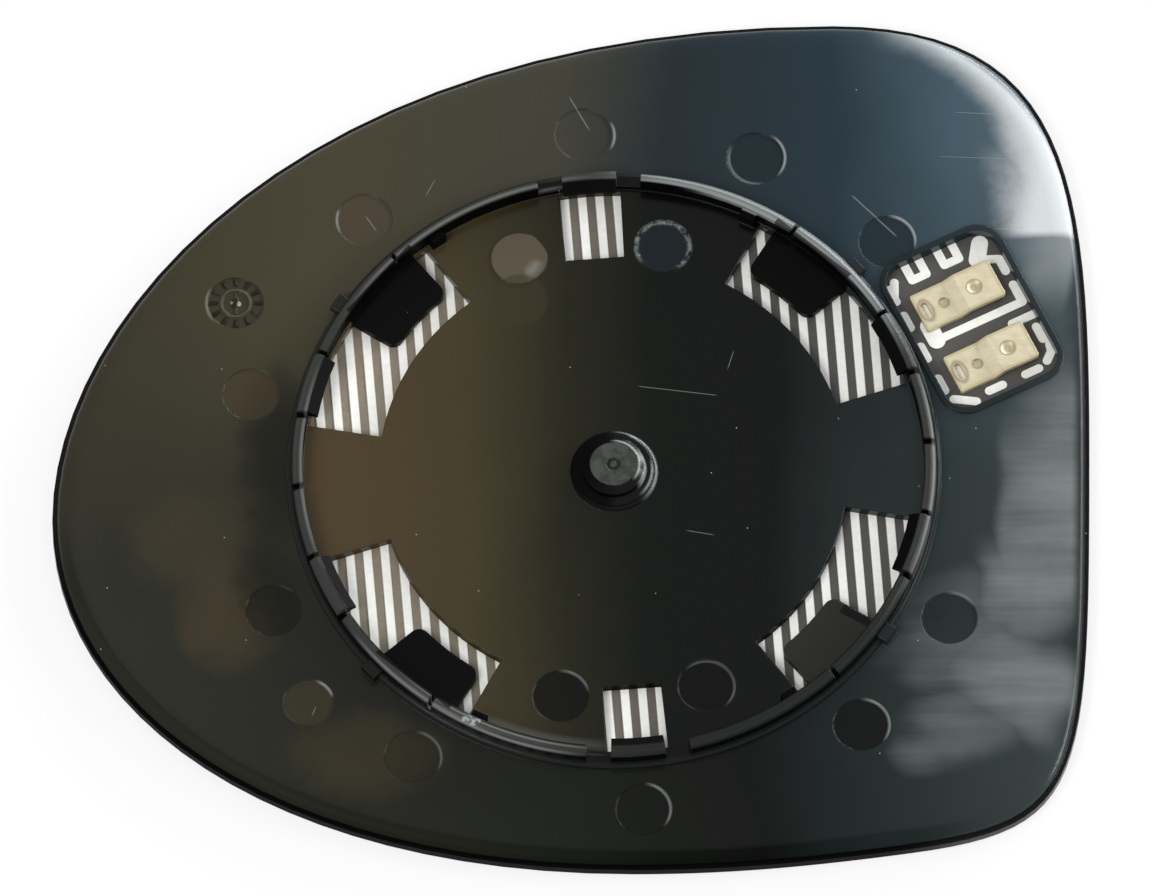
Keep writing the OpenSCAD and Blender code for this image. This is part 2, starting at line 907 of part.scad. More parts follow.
// Flat tab: its foot lies on the film, and its free end is lifted for the push-on socket
module tab_strip() {
    root = -tab_l / 2 + tab_foot_l;
    lean = tab_t * tab_lift / (tab_lift + 2 * tab_ramp);
    rotate([90, 0, 0])
        linear_extrude(tab_w, center = true)
            polygon([
                [-tab_l / 2, 0],
                [root, 0],
                [root + tab_ramp, tab_lift],
                [tab_l / 2, tab_lift],
                [tab_l / 2, tab_lift + tab_t],
                [root + tab_ramp - lean, tab_lift + tab_t],
                [root - lean, tab_t],
                [-tab_l / 2, tab_t]
            ]);
}

module terminal_tab(side) {
    translate([0, 0, tab_z])
        in_terminal_window()
            translate(tab_middle(side))
                difference() {
                    intersection() {
                        tab_strip();
                        linear_extrude(tab_lift + tab_t)
                            rounded_rectangle(tab_l, tab_w, tab_corner);
                    }
                    translate([tab_l / 2 - detent_from_tip, 0, tab_lift + tab_t - detent_depth])
                        cylinder(d1 = detent_d / 2, d2 = 1.5 * detent_d, h = 2 * detent_depth);
                    translate([-tab_l / 2 + slot_from_end, 0, -through])
                        linear_extrude(tab_t + 2 * through)
                            lead([0, -(slot_l - slot_w) / 2], [0, (slot_l - slot_w) / 2], slot_w);
                    translate([-tab_l / 2 + dimple_from_end, 0, tab_t - dimple_depth])
                        cylinder(d = dimple_d, h = dimple_depth + through);
                }
}

module terminal_upper() {
    color([0.86, 0.83, 0.72])
        terminal_tab(1);
}

module terminal_lower() {
    color([0.86, 0.83, 0.72])
        terminal_tab(-1);
}

mirror_glass();
heater_film();
heater_track();
backing_plate();
terminal_upper();
terminal_lower();
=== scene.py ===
# %% [markdown]
# # Heated door mirror glass, seen from behind
# The part is the glass of a car's door mirror with everything that is glued to its back: a heater
# film, a glossy black moulding and two flat terminals. It lies on its mirror side, so its back
# looks at us. The CAD model already gives every form at its real size. This lesson gives those
# forms their finishes: soft edges, a moulding with scratches, dust and painted reflections,
# highlights and shade, printed conductors, tinned brass, a plain pale floor and soft studio light.

import math

import bpy
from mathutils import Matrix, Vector


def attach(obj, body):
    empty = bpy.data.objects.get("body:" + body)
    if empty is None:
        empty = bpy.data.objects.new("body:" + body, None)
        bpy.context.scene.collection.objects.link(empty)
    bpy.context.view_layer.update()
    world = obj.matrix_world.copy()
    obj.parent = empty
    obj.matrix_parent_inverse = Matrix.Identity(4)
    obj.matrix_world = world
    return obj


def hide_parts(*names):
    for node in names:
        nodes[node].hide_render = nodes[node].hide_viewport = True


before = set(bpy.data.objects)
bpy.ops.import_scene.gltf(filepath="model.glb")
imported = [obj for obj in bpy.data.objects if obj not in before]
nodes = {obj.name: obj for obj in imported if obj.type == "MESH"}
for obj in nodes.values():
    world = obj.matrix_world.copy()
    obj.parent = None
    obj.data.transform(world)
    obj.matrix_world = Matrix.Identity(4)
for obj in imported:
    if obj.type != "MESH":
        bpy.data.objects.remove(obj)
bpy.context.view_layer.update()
print("CAD nodes:", sorted(nodes))

# %% [markdown]
# ## Working in order
# An operator acts on everything that is selected, and the loader leaves its meshes selected.
# So one helper clears the selection and another picks a single object before each step.

# %% Selecting
MM = 0.001


def select_nothing():
    """Clear the selection and the active object."""
    bpy.ops.object.select_all(action="DESELECT")
    bpy.context.view_layer.objects.active = None


def select_only(piece):
    """Select one object and make it the active one."""
    select_nothing()
    piece.select_set(True)
    bpy.context.view_layer.objects.active = piece


select_nothing()

# %% [markdown]
# ## The camera
# The photograph was taken from far away, looking down at the back of the plate and leaning
# towards the viewer by about a quarter of a right angle: the ring is round on the real part, but
# it measures a little less in height than in width. A camera without perspective, tilted by that
# angle, gives the same picture. Its width is the width of the photograph in millimetres.

# %% Camera
PHOTO_WIDTH = 1152          # pixels
PHOTO_SCALE = 6.77          # pixels of the photograph to a millimetre, across
TILT = 24.6                 # degrees away from looking straight down
LOOK_AT = Vector((-5.54, 3.85, 3.9)) * MM   # the plate's point in the middle of the picture


def add_camera():
    """A camera without perspective that looks at the middle of the picture."""
    lean = math.radians(TILT)
    away = Vector((0, -math.sin(lean), math.cos(lean)))
    bpy.ops.object.camera_add(location=LOOK_AT + away, rotation=(lean, 0, 0))
    camera = bpy.context.object
    camera.name = "photo_camera"
    camera.data.type = "ORTHO"
    camera.data.ortho_scale = PHOTO_WIDTH / PHOTO_SCALE * MM
    camera.data.clip_start = 0.01
    camera.data.clip_end = 20
    bpy.context.scene.camera = camera
    print("picture width in mm:", round(camera.data.ortho_scale / MM, 1))


add_camera()

# %% [markdown]
# ## Shader maths as plain expressions
# A finish is worked out from numbers such as a point's distance from an edge. `Signal` wraps a
# socket, so that `1 - mask` adds a Math node.

# %% Signals
class Signal:
    """A number that comes out of a node."""

    def __init__(self, finish, socket):
        self.finish = finish
        self.socket = socket

    def maths(self, operation, *others):
        return self.finish.maths(operation, self, *others)

    def __add__(self, other):
        return self.maths("ADD", other)

    __radd__ = __add__

    def __sub__(self, other):
        return self.maths("SUBTRACT", other)

    def __rsub__(self, other):
        return self.finish.maths("SUBTRACT", other, self)

    def __mul__(self, other):
        return self.maths("MULTIPLY", other)

    __rmul__ = __mul__

    def __truediv__(self, other):
        return self.maths("DIVIDE", other)

    def __pow__(self, other):
        return self.maths("POWER", other)

    def clamp(self):
        """The number, kept between 0 and 1."""
        return self.finish.maths("ADD", self, 0.0, use_clamp=True)

    def size(self):
        """The number without its sign."""
        return self.maths("ABSOLUTE")

# %% [markdown]
# `Finish` starts a material and adds any other node with one method: its type, its settings, and
# the values or links of its sockets. The methods after it build on that one. They make what every
# finish needs: smooth steps, ovals, cloudy noise and runs of colour.

# %% Finishes
class Finish:
    """A material whose nodes read the object's own coordinates, in millimetres."""

    def __init__(self, name):
        self.material = bpy.data.materials.new(name)
        self.material.use_nodes = True
        self.tree = self.material.node_tree
        self.tree.nodes.clear()
        self.output = self.tree.nodes.new("ShaderNodeOutputMaterial")
        place = self.node("ShaderNodeTexCoord", out="Object")
        self.place = self.node("ShaderNodeVectorMath", {"operation": "SCALE"},
                               {0: place, "Scale": 1 / MM})
        self.x = self.node("ShaderNodeSeparateXYZ", {}, {0: self.place}, out=0)
        split = self.x.socket.node
        self.y = Signal(self, split.outputs[1])
        self.z = Signal(self, split.outputs[2])

    def node(self, kind, settings=None, sockets=None, out=0):
        made = self.tree.nodes.new(kind)
        for name, value in (settings or {}).items():
            if name == "stops":
                self.set_stops(made.color_ramp, value)
            else:
                setattr(made, name, value)
        for name, value in (sockets or {}).items():
            self.feed(made.inputs[name], value)
        return Signal(self, made.outputs[out])

    def set_stops(self, ramp, stops):
        while len(ramp.elements) < len(stops):
            ramp.elements.new(0.5)
        for element, (position, colour) in zip(ramp.elements, stops):
            element.position = position
            element.color = colour

    def feed(self, socket, value):
        if isinstance(value, Signal):
            self.tree.links.new(value.socket, socket)
        else:
            socket.default_value = value

    def maths(self, operation, *values, use_clamp=False):
        return self.node("ShaderNodeMath", {"operation": operation, "use_clamp": use_clamp},
                         dict(enumerate(values)))

    def blend(self, mask, off, on):
        """One colour turning into another where the mask is 1."""
        return self.node("ShaderNodeMix", {"data_type": "RGBA"}, {0: mask, 6: off, 7: on}, out=2)

    def largest(self, *signals):
        """The largest of several numbers."""
        most = signals[0]
        for signal in signals[1:]:
            most = self.maths("MAXIMUM", most, signal)
        return most

    def noise(self, scale, detail=2.0, rough=0.5, stretch=(1, 1, 1), shift=(0, 0, 0)):
        """Soft cloudy numbers about 0.5, with scale counted per millimetre."""
        moved = self.node("ShaderNodeMapping", {},
                          {"Vector": self.place, "Scale": stretch, "Location": shift})
        return self.node("ShaderNodeTexNoise", {},
                         {"Vector": moved, "Scale": scale, "Detail": detail, "Roughness": rough})

    def step(self, signal, low, high):
        """0 below low, 1 above high, and a smooth rise between them."""
        return self.node("ShaderNodeMapRange", {"interpolation_type": "SMOOTHSTEP"},
                         {0: signal, 1: low, 2: high, 3: 0.0, 4: 1.0})

    def fall(self, signal, low, high):
        """1 below low, 0 above high, and a smooth fall between them."""
        return self.step(signal * -1, -high, -low)

    def band(self, signal, low, high, soft=0.1):
        """1 between low and high, with soft edges outside them."""
        return self.step(signal, low - soft, low) * self.fall(signal, high, high + soft)

    def toward(self, turn):
        """How far a point lies in a direction from the post, given in degrees."""
        return self.x * math.cos(math.radians(turn)) + self.y * math.sin(math.radians(turn))

    def spot(self, middle, reach, soft=1.0, place=None):
        """1 in the middle of an oval and 0 at its edge, with a smooth fall between them."""
        x, y = place or (self.x, self.y)
        across = (x - middle[0]) / reach[0]
        along = (y - middle[1]) / reach[1]
        return self.step(1 - (across * across + along * along), 0.0, soft)

    def ramp(self, signal, stops):
        """Colours along a number: each stop is the number and its colour."""
        low, high = stops[0][0], stops[-1][0]
        share = self.node("ShaderNodeMapRange", {}, {0: signal, 1: low, 2: high, 3: 0.0, 4: 1.0})
        placed = [((place - low) / (high - low), colour) for place, colour in stops]
        return self.node("ShaderNodeValToRGB", {"stops": placed}, {"Fac": share})

    def shader(self, constants, varying):
        """A Principled shader: constants are set on its sockets, varying values are linked."""
        return self.node("ShaderNodeBsdfPrincipled", {}, {**constants, **varying})

    def surface(self, constants, varying):
        """A whole surface from one Principled shader."""
        return self.cover(self.shader(constants, varying))

    def cover(self, shader):
        """The material, with this shader as its surface."""
        self.tree.links.new(shader.socket, self.output.inputs["Surface"])
        return self.material


def tint(red, green, blue):
    """A colour as a screen shows it, from 0 to 255, turned into the light that Blender counts."""
    def light(value):
        value = value / 255
        return value / 12.92 if value <= 0.04045 else ((value + 0.055) / 1.055) ** 2.4
    return (light(red), light(green), light(blue), 1.0)

# %% [markdown]
# ## The black moulding
# The plate is one glossy black injection moulding. The CAD surface is made of flat triangles with
# hard edges, but a real mould leaves a small radius on every edge, and that radius draws the
# bright lines that we see. A copy is welded together and shaded smooth. The big flat field must
# stay flat, so the normals are weighted by area. The edges get their radius in the finish, where
# a Bevel node rounds the normals, because a cut bevel would tear the shallow moulding marks.

# %% Weld and smooth the plate
WELD = 0.002                # corners nearer than this become one
SHARP_FROM = 32             # edges with a larger angle stay sharp, in degrees


def smooth_copy(node, name):
    """A welded copy of a CAD node, shaded smooth, that takes the node's place."""
    select_only(nodes[node])
    bpy.ops.object.duplicate()
    piece = bpy.context.object
    piece.name = name
    piece.data.name = name
    for key in [k for k in piece.keys() if k.startswith("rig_")]:
        del piece[key]
    bpy.ops.mesh.customdata_custom_splitnormals_clear()
    bpy.ops.object.mode_set(mode="EDIT")
    bpy.ops.mesh.select_all(action="SELECT")
    bpy.ops.mesh.remove_doubles(threshold=WELD * MM)
    bpy.ops.object.mode_set(mode="OBJECT")
    bpy.ops.object.shade_smooth_by_angle(angle=math.radians(SHARP_FROM))
    weigh = piece.modifiers.new("weigh_normals", "WEIGHTED_NORMAL")
    weigh.mode = "FACE_AREA"
    weigh.keep_sharp = True
    bpy.ops.object.modifier_apply(modifier=weigh.name)
    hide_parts(node)
    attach(piece, "root")
    print(name, "has", len(piece.data.polygons), "faces")
    return piece


plate = smooth_copy("backing_plate", "plate_moulding")

# %% [markdown]
# The moulding is black, but it mirrors the room, and those reflections are painted into its
# colour:
# the left side a warm olive brown, the middle almost black, and the upper right a cool slate blue,
# with a pale painted sheen along the right side. The heights and radii of the CAD model tell the
# finish where the ring, the post and the ledge begin. Colours are given as a screen shows them.
# The gloss adds some light of the room to them, and the lamps don't show a colour at its own
# brightness, so both are taken off again before a colour goes into the shader.

# %% Sizes and the plastic's colour
FIELD = 3.9                 # height of the plate's flat field
LEDGE = 2.3                 # the ledge round the rolled edge lies below this height
RING_TOP = 6.9              # height of the clip ring
HOOKS_FROM = 43.5           # the ring's hooks and stop blocks lie outside this radius
RING_INSIDE = 45.9          # inner radius of the ring's wall
RING_OUTSIDE = 47.6         # outer radius of that wall, above the low step at its foot
FOOT_OUTSIDE = 49.5         # the low step lies inside this radius
RIBS_OUTSIDE = 52.0         # the ribs that stand against the ring lie inside this radius
POST_TOP = 6.7              # height of the centre post
POST_OUTSIDE = 6.5          # the post and its foot lie inside this radius
GLOSS = 0.009               # light of the room that the gloss adds to the plastic's own colour
LEVEL = 1.2                 # how brightly the lamps show that colour
DARKEST = 0.0015            # no plastic is blacker than this


def plastic(red, green, blue):
    """The plastic's own colour, for the colour that the screen shows of it under its gloss."""
    seen = tint(red, green, blue)[:3]
    return tuple(max(DARKEST, (value - GLOSS) / LEVEL) for value in seen) + (1.0,)


print("black of the ring's sides:", [round(value, 4) for value in plastic(25, 27, 25)[:3]])

# %% [markdown]
# Most of what is seen on the plate has a simple form: a disc, a bar, a box with round corners, a
# part of a circle's edge or a straight scratch. Each mask is worked out from a point's distance
# to that form, and it is 1 on the form and falls to 0 over a short way, as a real edge does.

# %% Masks
def away_from(f, middle):
    """How far a point lies from an upright axis."""
    x = f.x - middle[0]
    y = f.y - middle[1]
    return (x * x + y * y) ** 0.5


def disc(f, middle, radius, soft=0.2):
    """1 inside a circle and 0 outside it."""
    return f.fall(away_from(f, middle), radius - soft, radius + soft)


def slab(f, turn, near, far, half_width):
    """1 inside a bar that lies along one direction from the post."""
    across = f.toward(turn + 90).size()
    return f.band(f.toward(turn), near + 0.1, far) * f.fall(across, half_width, half_width + 0.1)


def rounded_box(f, middle, turn, size, corner):
    """1 inside a turned box with round corners and 0 outside it."""
    way = (math.cos(math.radians(turn)), math.sin(math.radians(turn)))
    x = f.x - middle[0]
    y = f.y - middle[1]
    along = (x * way[0] + y * way[1]).size() - (size[0] / 2 - corner)
    across = (y * way[0] - x * way[1]).size() - (size[1] / 2 - corner)
    along = f.maths("MAXIMUM", along, 0.0)
    across = f.maths("MAXIMUM", across, 0.0)
    return f.fall((along * along + across * across) ** 0.5, corner - 0.1, corner + 0.1)


def edge_arc(f, middle, radius, first, last, width=0.3):
    """1 along part of a circle's edge, between two directions, with a fall at both ends."""
    x = f.x - middle[0]
    y = f.y - middle[1]
    away = (x * x + y * y) ** 0.5
    half = math.radians(last - first) / 2
    way = math.radians(last + first) / 2
    toward = (x * math.cos(way) + y * math.sin(way)) / away
    thin = (1 - (away - radius).size() / width).clamp()
    # the fall begins 0.35 radians inside the arc's ends and goes on 0.25 past them
    return thin * f.step(toward, math.cos(half + 0.25), math.cos(max(half - 0.35, 0)))


def scratch(f, start, end, width):
    """1 along a thin straight line between two points, fading at its ends."""
    run = Vector(end) - Vector(start)
    way = run.normalized()
    along = (f.x - start[0]) * way.x + (f.y - start[1]) * way.y
    across = (f.y - start[1]) * way.x - (f.x - start[0]) * way.y
    thin = (1 - across.size() / width).clamp()
    ends = (along * 1.5).clamp() * ((run.length - along) * 1.5).clamp()
    return thin * ends

# %% [markdown]
# The flat plate comes first. Its colours are painted reflections of the room. One run of colours
# goes from left to right above, one below and one inside the ring, and slow noise bends the places
# where they meet. Ovals with torn edges add darker and warmer patches of painted reflection,
# because a single run of colours would look too even.

# %% Colours of the plate
# patches of painted reflection on the left side: middle, reach, colour and how strongly it covers
REFLECTION_PATCHES = [
    ((-49, 3), (8, 17), (34, 35, 30), 0.8), ((-69, -15), (12, 12), (45, 46, 41), 0.6),
    ((-63, -11), (12, 10), (64, 59, 46), 0.8), ((-57, -23), (9, 12), (71, 62, 47), 0.75),
    ((-37, -46), (14, 9), (66, 60, 44), 0.6), ((-51, -19), (7, 10), (34, 35, 30), 0.6),
]


def plate_reflections(f, radius):
    """Painted reflections on the flat plate: runs of colours above, below and inside the ring, and
    patches.
    """
    drift = (f.noise(0.03, detail=3) - 0.5) * 16
    torn = f.noise(0.12, detail=4, rough=0.6, shift=(11, 4, 0)) - 0.5
    across = f.x + drift * f.fall(f.x, 46, 66)
    above = f.ramp(across, [
        (-80, plastic(60, 57, 45)), (-45, plastic(73, 69, 53)), (-8, plastic(68, 67, 58)),
        (8, plastic(42, 49, 53)), (32, plastic(43, 57, 64)), (50, plastic(72, 90, 101)),
        (66.5, plastic(84, 98, 106)), (69, plastic(44, 50, 53))])
    below = f.ramp(across, [
        (-80, plastic(50, 51, 44)), (-40, plastic(42, 43, 37)), (-8, plastic(35, 37, 32)),
        (20, plastic(20, 28, 27)), (44, plastic(41, 49, 49)), (66, plastic(58, 66, 66)),
        (69, plastic(34, 38, 39))])
    within = f.ramp(f.x + drift * 0.5, [
        (-42, plastic(80, 68, 49)), (-22, plastic(70, 63, 45)), (-7, plastic(42, 42, 33)),
        (6, plastic(27, 29, 26)), (24, plastic(25, 28, 27)), (44, plastic(48, 57, 56))])
    # on the right the upper colours begin farther up
    higher = f.y + drift - f.step(f.x, 10, 50) * 26
    outside = f.blend(f.step(higher, -30, 34), below, above)
    place = (f.x + torn * 9, f.y + torn * 7)
    for middle, reach, paint, cover in REFLECTION_PATCHES:
        cloud = f.spot(middle, reach, place=place) * cover
        outside = f.blend(cloud, outside, plastic(*paint))
    inside = f.fall(radius, RING_INSIDE - 0.2, RING_INSIDE + 0.2)
    return f.blend(inside, outside, within)

# %% [markdown]
# A pale painted sheen lies along the right side: painted reflections of the lamps. A bright
# crescent, a painted highlight, follows the rim above, between two circles, and it ends at a level
# line. Below it hang torn veils of painted reflection, made of ovals whose places are bent by
# noise.
# They are one mask of their own, because the same mask also makes the gloss a little duller.

# %% Painted sheen
CRESCENT_OUTER = (31.9, 37.3)       # middle of the crescent's outer circle
CRESCENT_INNER = (37, 47.5)         # middle of its inner circle
# the veils of painted reflection: middle, reach and strength
VEILS = [
    ((68, -3), (16, 24), 0.2), ((62, -17), (11, 12), 0.22), ((59, -35), (12, 13), 0.21),
    ((50, -42), (9, 8), 0.12), ((54, -26), (14, 12), 0.1), ((68, 15), (7, 12), 0.05),
]


def painted_sheen(f):
    """Painted sheen along the right side: a highlight crescent along the rim and torn veils below
    it.
    """
    cloud = f.noise(0.09, detail=5, rough=0.62, shift=(3, 7, 0))
    streak = f.noise(0.07, detail=4, rough=0.6, stretch=(0.3, 4.0, 1))
    bend = f.noise(0.07, detail=1.5, shift=(3, 7, 0)) - 0.5
    place = (f.x + bend * 22 + (streak - 0.5) * 3, f.y + bend * 14)
    outer = f.fall(away_from(f, CRESCENT_OUTER), 35.5, 36.9) * f.step(f.x, 37, 50)
    within = away_from(f, CRESCENT_INNER) + (cloud - 0.5) * 4
    crescent = f.step(within, 19.8, 25.4) * 0.76 + f.step(within, 24.5, 26.5) * 0.12
    # its lower end is a wide patch, and a faint haze goes on below the level line
    patch = f.step(f.x + (cloud - 0.5) * 9, 53.5, 63.5) * f.fall(f.y, 47, 55) * 0.7
    upper = f.largest(crescent, patch) * f.step(f.y + bend * 4, 37.2, 39.4)
    under = f.step(place[0], 56, 65) * f.step(f.y, 24, 36) * 0.22
    upper = f.largest(upper, under) * outer
    ovals = [f.spot(middle, reach, place=place) * strength for middle, reach, strength in VEILS]
    veil = f.largest(*ovals) * (0.8 + (streak - 0.5) * 1.2 + (0.5 - cloud) * 0.6)
    # near the ring the veil starts at an upright line
    veil = veil * f.largest(f.step(f.x + bend * 3, 55.6, 57.8), f.fall(f.y, -16, -9))
    return f.largest(upper, veil).clamp() * f.fall(f.x, 67.4, 69.2)

# %% [markdown]
# Each ejector pin leaves a round mark with a surface of its own, so some marks look lighter than
# the plastic round them and some darker. Three of the four tongues see only the dark room, so
# their colour is a painted dark reflection, and the lit one has a lighter painted reflection. A
# painted shadow lies between the lit tongue and the ring. The function also says where the dark
# tongues are, because a gloss there would show a sky that the real tongues don't see.

# %% Marks and tongues
# middle, radius, colour and how strongly it covers
MARKS = [
    ((-13.97, 34.6), 4.1, (98, 90, 76), 0.85), ((-45.1, -37.5), 3.7, (68, 64, 48), 0.8),
    ((7.3, 36.6), 4.15, (38, 45, 50), 0.7), ((-7.8, -36.5), 4.15, (25, 25, 20), 0.85),
    ((40.4, 37.4), 4.15, (34, 43, 48), 0.7), ((36.6, -41.1), 4.15, (20, 23, 22), 0.8),
    ((49.6, -23.8), 4.15, (36, 44, 46), 0.9), ((-50.2, -22.5), 4.15, (34, 35, 31), 0.5),
    ((-53.5, 12.6), 4.15, (75, 64, 47), 0.6), ((-36.7, 40.9), 4.15, (79, 69, 57), 0.6),
    ((21.2, 51.0), 4.15, (34, 44, 48), 0.6), ((13.7, -34.9), 4.15, (20, 21, 21), 0.8),
    ((-13.8, 27.9), 4.1, (62, 58, 43), 0.6),
]
# direction from the post in degrees, and colour, which is a painted reflection
LIT_TONGUE = 319.1
TONGUES = [
    (139.1, (20, 24, 20)), (49.9, (22, 25, 22)), (229.9, (20, 23, 20)),
    (LIT_TONGUE, (48, 48, 44)),
]
TONGUE_TIP = 36.5           # the tongues lie farther than this from the post
TONGUE_HALF = 7.0           # half of a tongue's width
# a painted shadow between the lit tongue and the ring
PAINTED_SHADOW_AT = 330.5
PAINTED_SHADOW_TIP = 40.2
PAINTED_SHADOW_HALF = 3.4


def marks_and_tongues(f, colour):
    """Paint the pin marks, the tongues' painted reflections and a painted shadow; also where a
    tongue sees only the dark room.
    """
    for middle, reach, paint, cover in MARKS:
        colour = f.blend(disc(f, middle, reach) * cover, colour, plastic(*paint))
    hidden = []
    for turn, paint in TONGUES:
        tongue = slab(f, turn, TONGUE_TIP, RING_INSIDE + 0.2, TONGUE_HALF)
        colour = f.blend(tongue, colour, plastic(*paint))
        if turn != LIT_TONGUE:
            hidden.append(tongue)
    # a painted shadow between the lit tongue and the ring
    corner = slab(f, PAINTED_SHADOW_AT, PAINTED_SHADOW_TIP, RING_INSIDE + 0.2, PAINTED_SHADOW_HALF)
    colour = f.blend(corner, colour, plastic(20, 21, 20))
    return colour, f.largest(*hidden) * 0.8

# %% [markdown]
# The ring and the post stand up from the plate. Their sides look black and their tops dark grey,
# darker below, a painted shade. Painted highlights lie on the ring's top in thin curved lines,
# most at the upper right, and pale painted highlights lie along the edges of ring, post and marks
# in places. The edge of one mark is flaked, and there and at one place of the ring fine noise
# breaks up the pale paint.

# %% Ring and post
HIGHLIGHT_AT = 58               # direction of the ring's brightest painted highlight, in degrees
SHADED_AT = 300               # direction in which the painted shade on its top is darkest
BROKEN_HIGHLIGHT_AT = 243.2           # direction of the place where its painted highlight is broken up
FLAKED_MARK = (7.3, 36.6)   # the pin mark with a flaked edge
# painted highlights along edges: middle, radius, first and last direction in degrees, strength and
# half of the width
EDGE_HIGHLIGHTS = [
    ((21.2, 51.0), 4.15, -35, 50, 0.55, 0.3), ((21.2, 51.0), 4.15, 160, 275, 0.28, 0.3),
    ((36.6, -41.1), 4.15, -30, 82, 0.5, 0.3), ((40.4, 37.4), 4.15, -5, 78, 0.75, 0.3),
    ((-45.1, -37.5), 3.7, 25, 60, 0.6, 0.3), ((49.6, -23.8), 4.15, 40, 85, 0.3, 0.3),
    ((-7.8, -36.5), 4.15, 20, 85, 0.3, 0.3), ((13.7, -34.9), 4.15, -40, 130, 0.2, 0.3),
    ((4.3, -54.8), 4.15, -30, 75, 0.5, 0.3), ((-29.6, -46.4), 4.15, -20, 75, 0.22, 0.3),
    ((-4.0, 54.6), 4.15, -22, 22, 0.5, 0.3), ((-36.7, 40.9), 4.15, 165, 200, 0.4, 0.3),
    ((0, 0), 6.35, -38, 84, 0.55, 0.3), ((0, 0), 3.8, 28, 88, 0.75, 0.3),
    ((0, 0), 3.8, -30, 14, 0.6, 0.3), ((0, 0), 4.7, -30, 8, 0.6, 0.3),
    ((0, 0), 5.7, -36, 6, 0.5, 0.3), ((0, 0), 47.4, -14, 12, 0.4, 0.35),
    ((0, 0), 47.2, 228, 236, 0.35, 0.3), ((0, 0), 47.35, 243, 252, 0.4, 0.25),
    ((0, 0), 46.4, 240, 256, 0.3, 0.25), ((0, 0), 44.6, 249, 258, 0.16, 1.3),
    ((0, 0), 46.2, 172, 190, 0.25, 0.4), ((0, 0), 46.5, 104, 136, 0.25, 0.4),
    ((-13.97, 34.6), 2.7, -62, -12, 0.22, 1.3),
]


def ring_and_post(f, colour, radius, grain):
    """Paint the ring and the post, with painted highlights and painted shade; also where they see
    only the dark room.
    """
    raised = f.step(f.z, FIELD + 0.1, FIELD + 0.2)
    from_hooks = f.step(radius, HOOKS_FROM - 0.1, HOOKS_FROM + 0.1)
    wall = from_hooks * f.fall(radius, RING_OUTSIDE, RING_OUTSIDE + 0.1)
    foot = f.step(radius, RING_OUTSIDE, RING_OUTSIDE + 0.1) \
        * f.fall(radius, FOOT_OUTSIDE - 0.1, FOOT_OUTSIDE + 0.1)
    post = f.fall(radius, POST_OUTSIDE - 0.1, POST_OUTSIDE + 0.1)
    sides = raised * (wall + post + foot * 0.5).clamp()
    colour = f.blend(sides, colour, plastic(25, 27, 25))
    crown = f.step(f.z, RING_TOP - 0.7, RING_TOP - 0.3) * wall \
        * f.step(radius, RING_INSIDE, RING_INSIDE + 0.4)
    # painted shade: the ring's top is painted darker below
    low = f.step(f.toward(SHADED_AT) / radius, 0.7, 0.95)
    colour = f.blend(crown, colour, f.blend(low, plastic(54, 55, 51), plastic(32, 34, 31)))
    # the ring's painted highlight reaches over its inner edge where it is brightest
    lines = f.step(f.node("ShaderNodeTexNoise", {"noise_dimensions": "1D"},
                          {"W": radius, "Scale": 2.2, "Detail": 2.0}), 0.42, 0.62)
    toward = f.toward(HIGHLIGHT_AT) / radius
    inner_highlight = f.step(f.z, RING_TOP - 1.0, RING_TOP - 0.7) * wall \
        * f.step(radius, RING_INSIDE - 0.4, RING_INSIDE - 0.1) * f.step(toward, 0.93, 0.985)
    # painted highlight on the ring's top and the upper part of its inner wall, in thin curved
    # lines
    ring_highlight = (0.03 + f.step(toward, 0.8, 0.95) * 0.65) * (0.6 + lines * 0.6)
    ring_highlight = (f.largest(crown, inner_highlight) + raised * foot * 0.1) * ring_highlight
    colour = f.blend(ring_highlight, colour, plastic(172, 178, 178))
    ribs = raised * f.band(radius, RING_OUTSIDE + 0.2, RIBS_OUTSIDE)
    colour = f.blend(ribs * 0.6, colour, plastic(34, 38, 38))
    # the post's top is mottled
    top = disc(f, (0, 0), 3.5, 0.1) * f.step(f.z, POST_TOP - 0.3, POST_TOP - 0.1)
    mottle = f.blend(f.step(grain, 0.4, 0.6), plastic(62, 64, 60), plastic(77, 79, 74))
    colour = f.blend(top, colour, mottle)
    # fine noise that breaks up the flaked edge of one mark and one painted highlight of the ring
    patchy = f.step(f.noise(1.1, detail=3, rough=0.7), 0.36, 0.62)
    wear_and_highlights = [
        edge_arc(f, FLAKED_MARK, 3.95, -60, 215, 0.5) * patchy * 0.5,
        slab(f, BROKEN_HIGHLIGHT_AT, RING_INSIDE, RING_OUTSIDE + 0.2, 1.3) * crown * patchy * 0.8,
    ]
    for middle, reach, first, last, strength, width in EDGE_HIGHLIGHTS:
        wear_and_highlights.append(edge_arc(f, middle, reach, first, last, width) * strength)
    # pale painted highlights along edges, and the flaked edge of one mark
    colour = f.blend(f.largest(*wear_and_highlights), colour, plastic(190, 196, 192))
    # the hooks, the inside of the ring's wall and the post's left side see only the dark room
    within = raised * from_hooks * f.fall(radius, RING_INSIDE, RING_INSIDE + 0.1) * (1 - inner_highlight)
    left = raised * post * f.fall(f.x, -1.5, 1.0) * (1 - top)
    return colour, f.largest(within, left)

# %% [markdown]
# A date dial is a round insert of the mould: ticks round a ring, with a pointer in the middle.
# The CAD model has its shallow form, and the finish paints its darker ticks and middle, a lighter
# ring and painted highlights: a pale arc at its edge and two glints. The lip round the terminal
# window and the ledge round the plate are painted darker than the field, a painted shade.
# Scratches and dust come last, because they lie on top of everything.

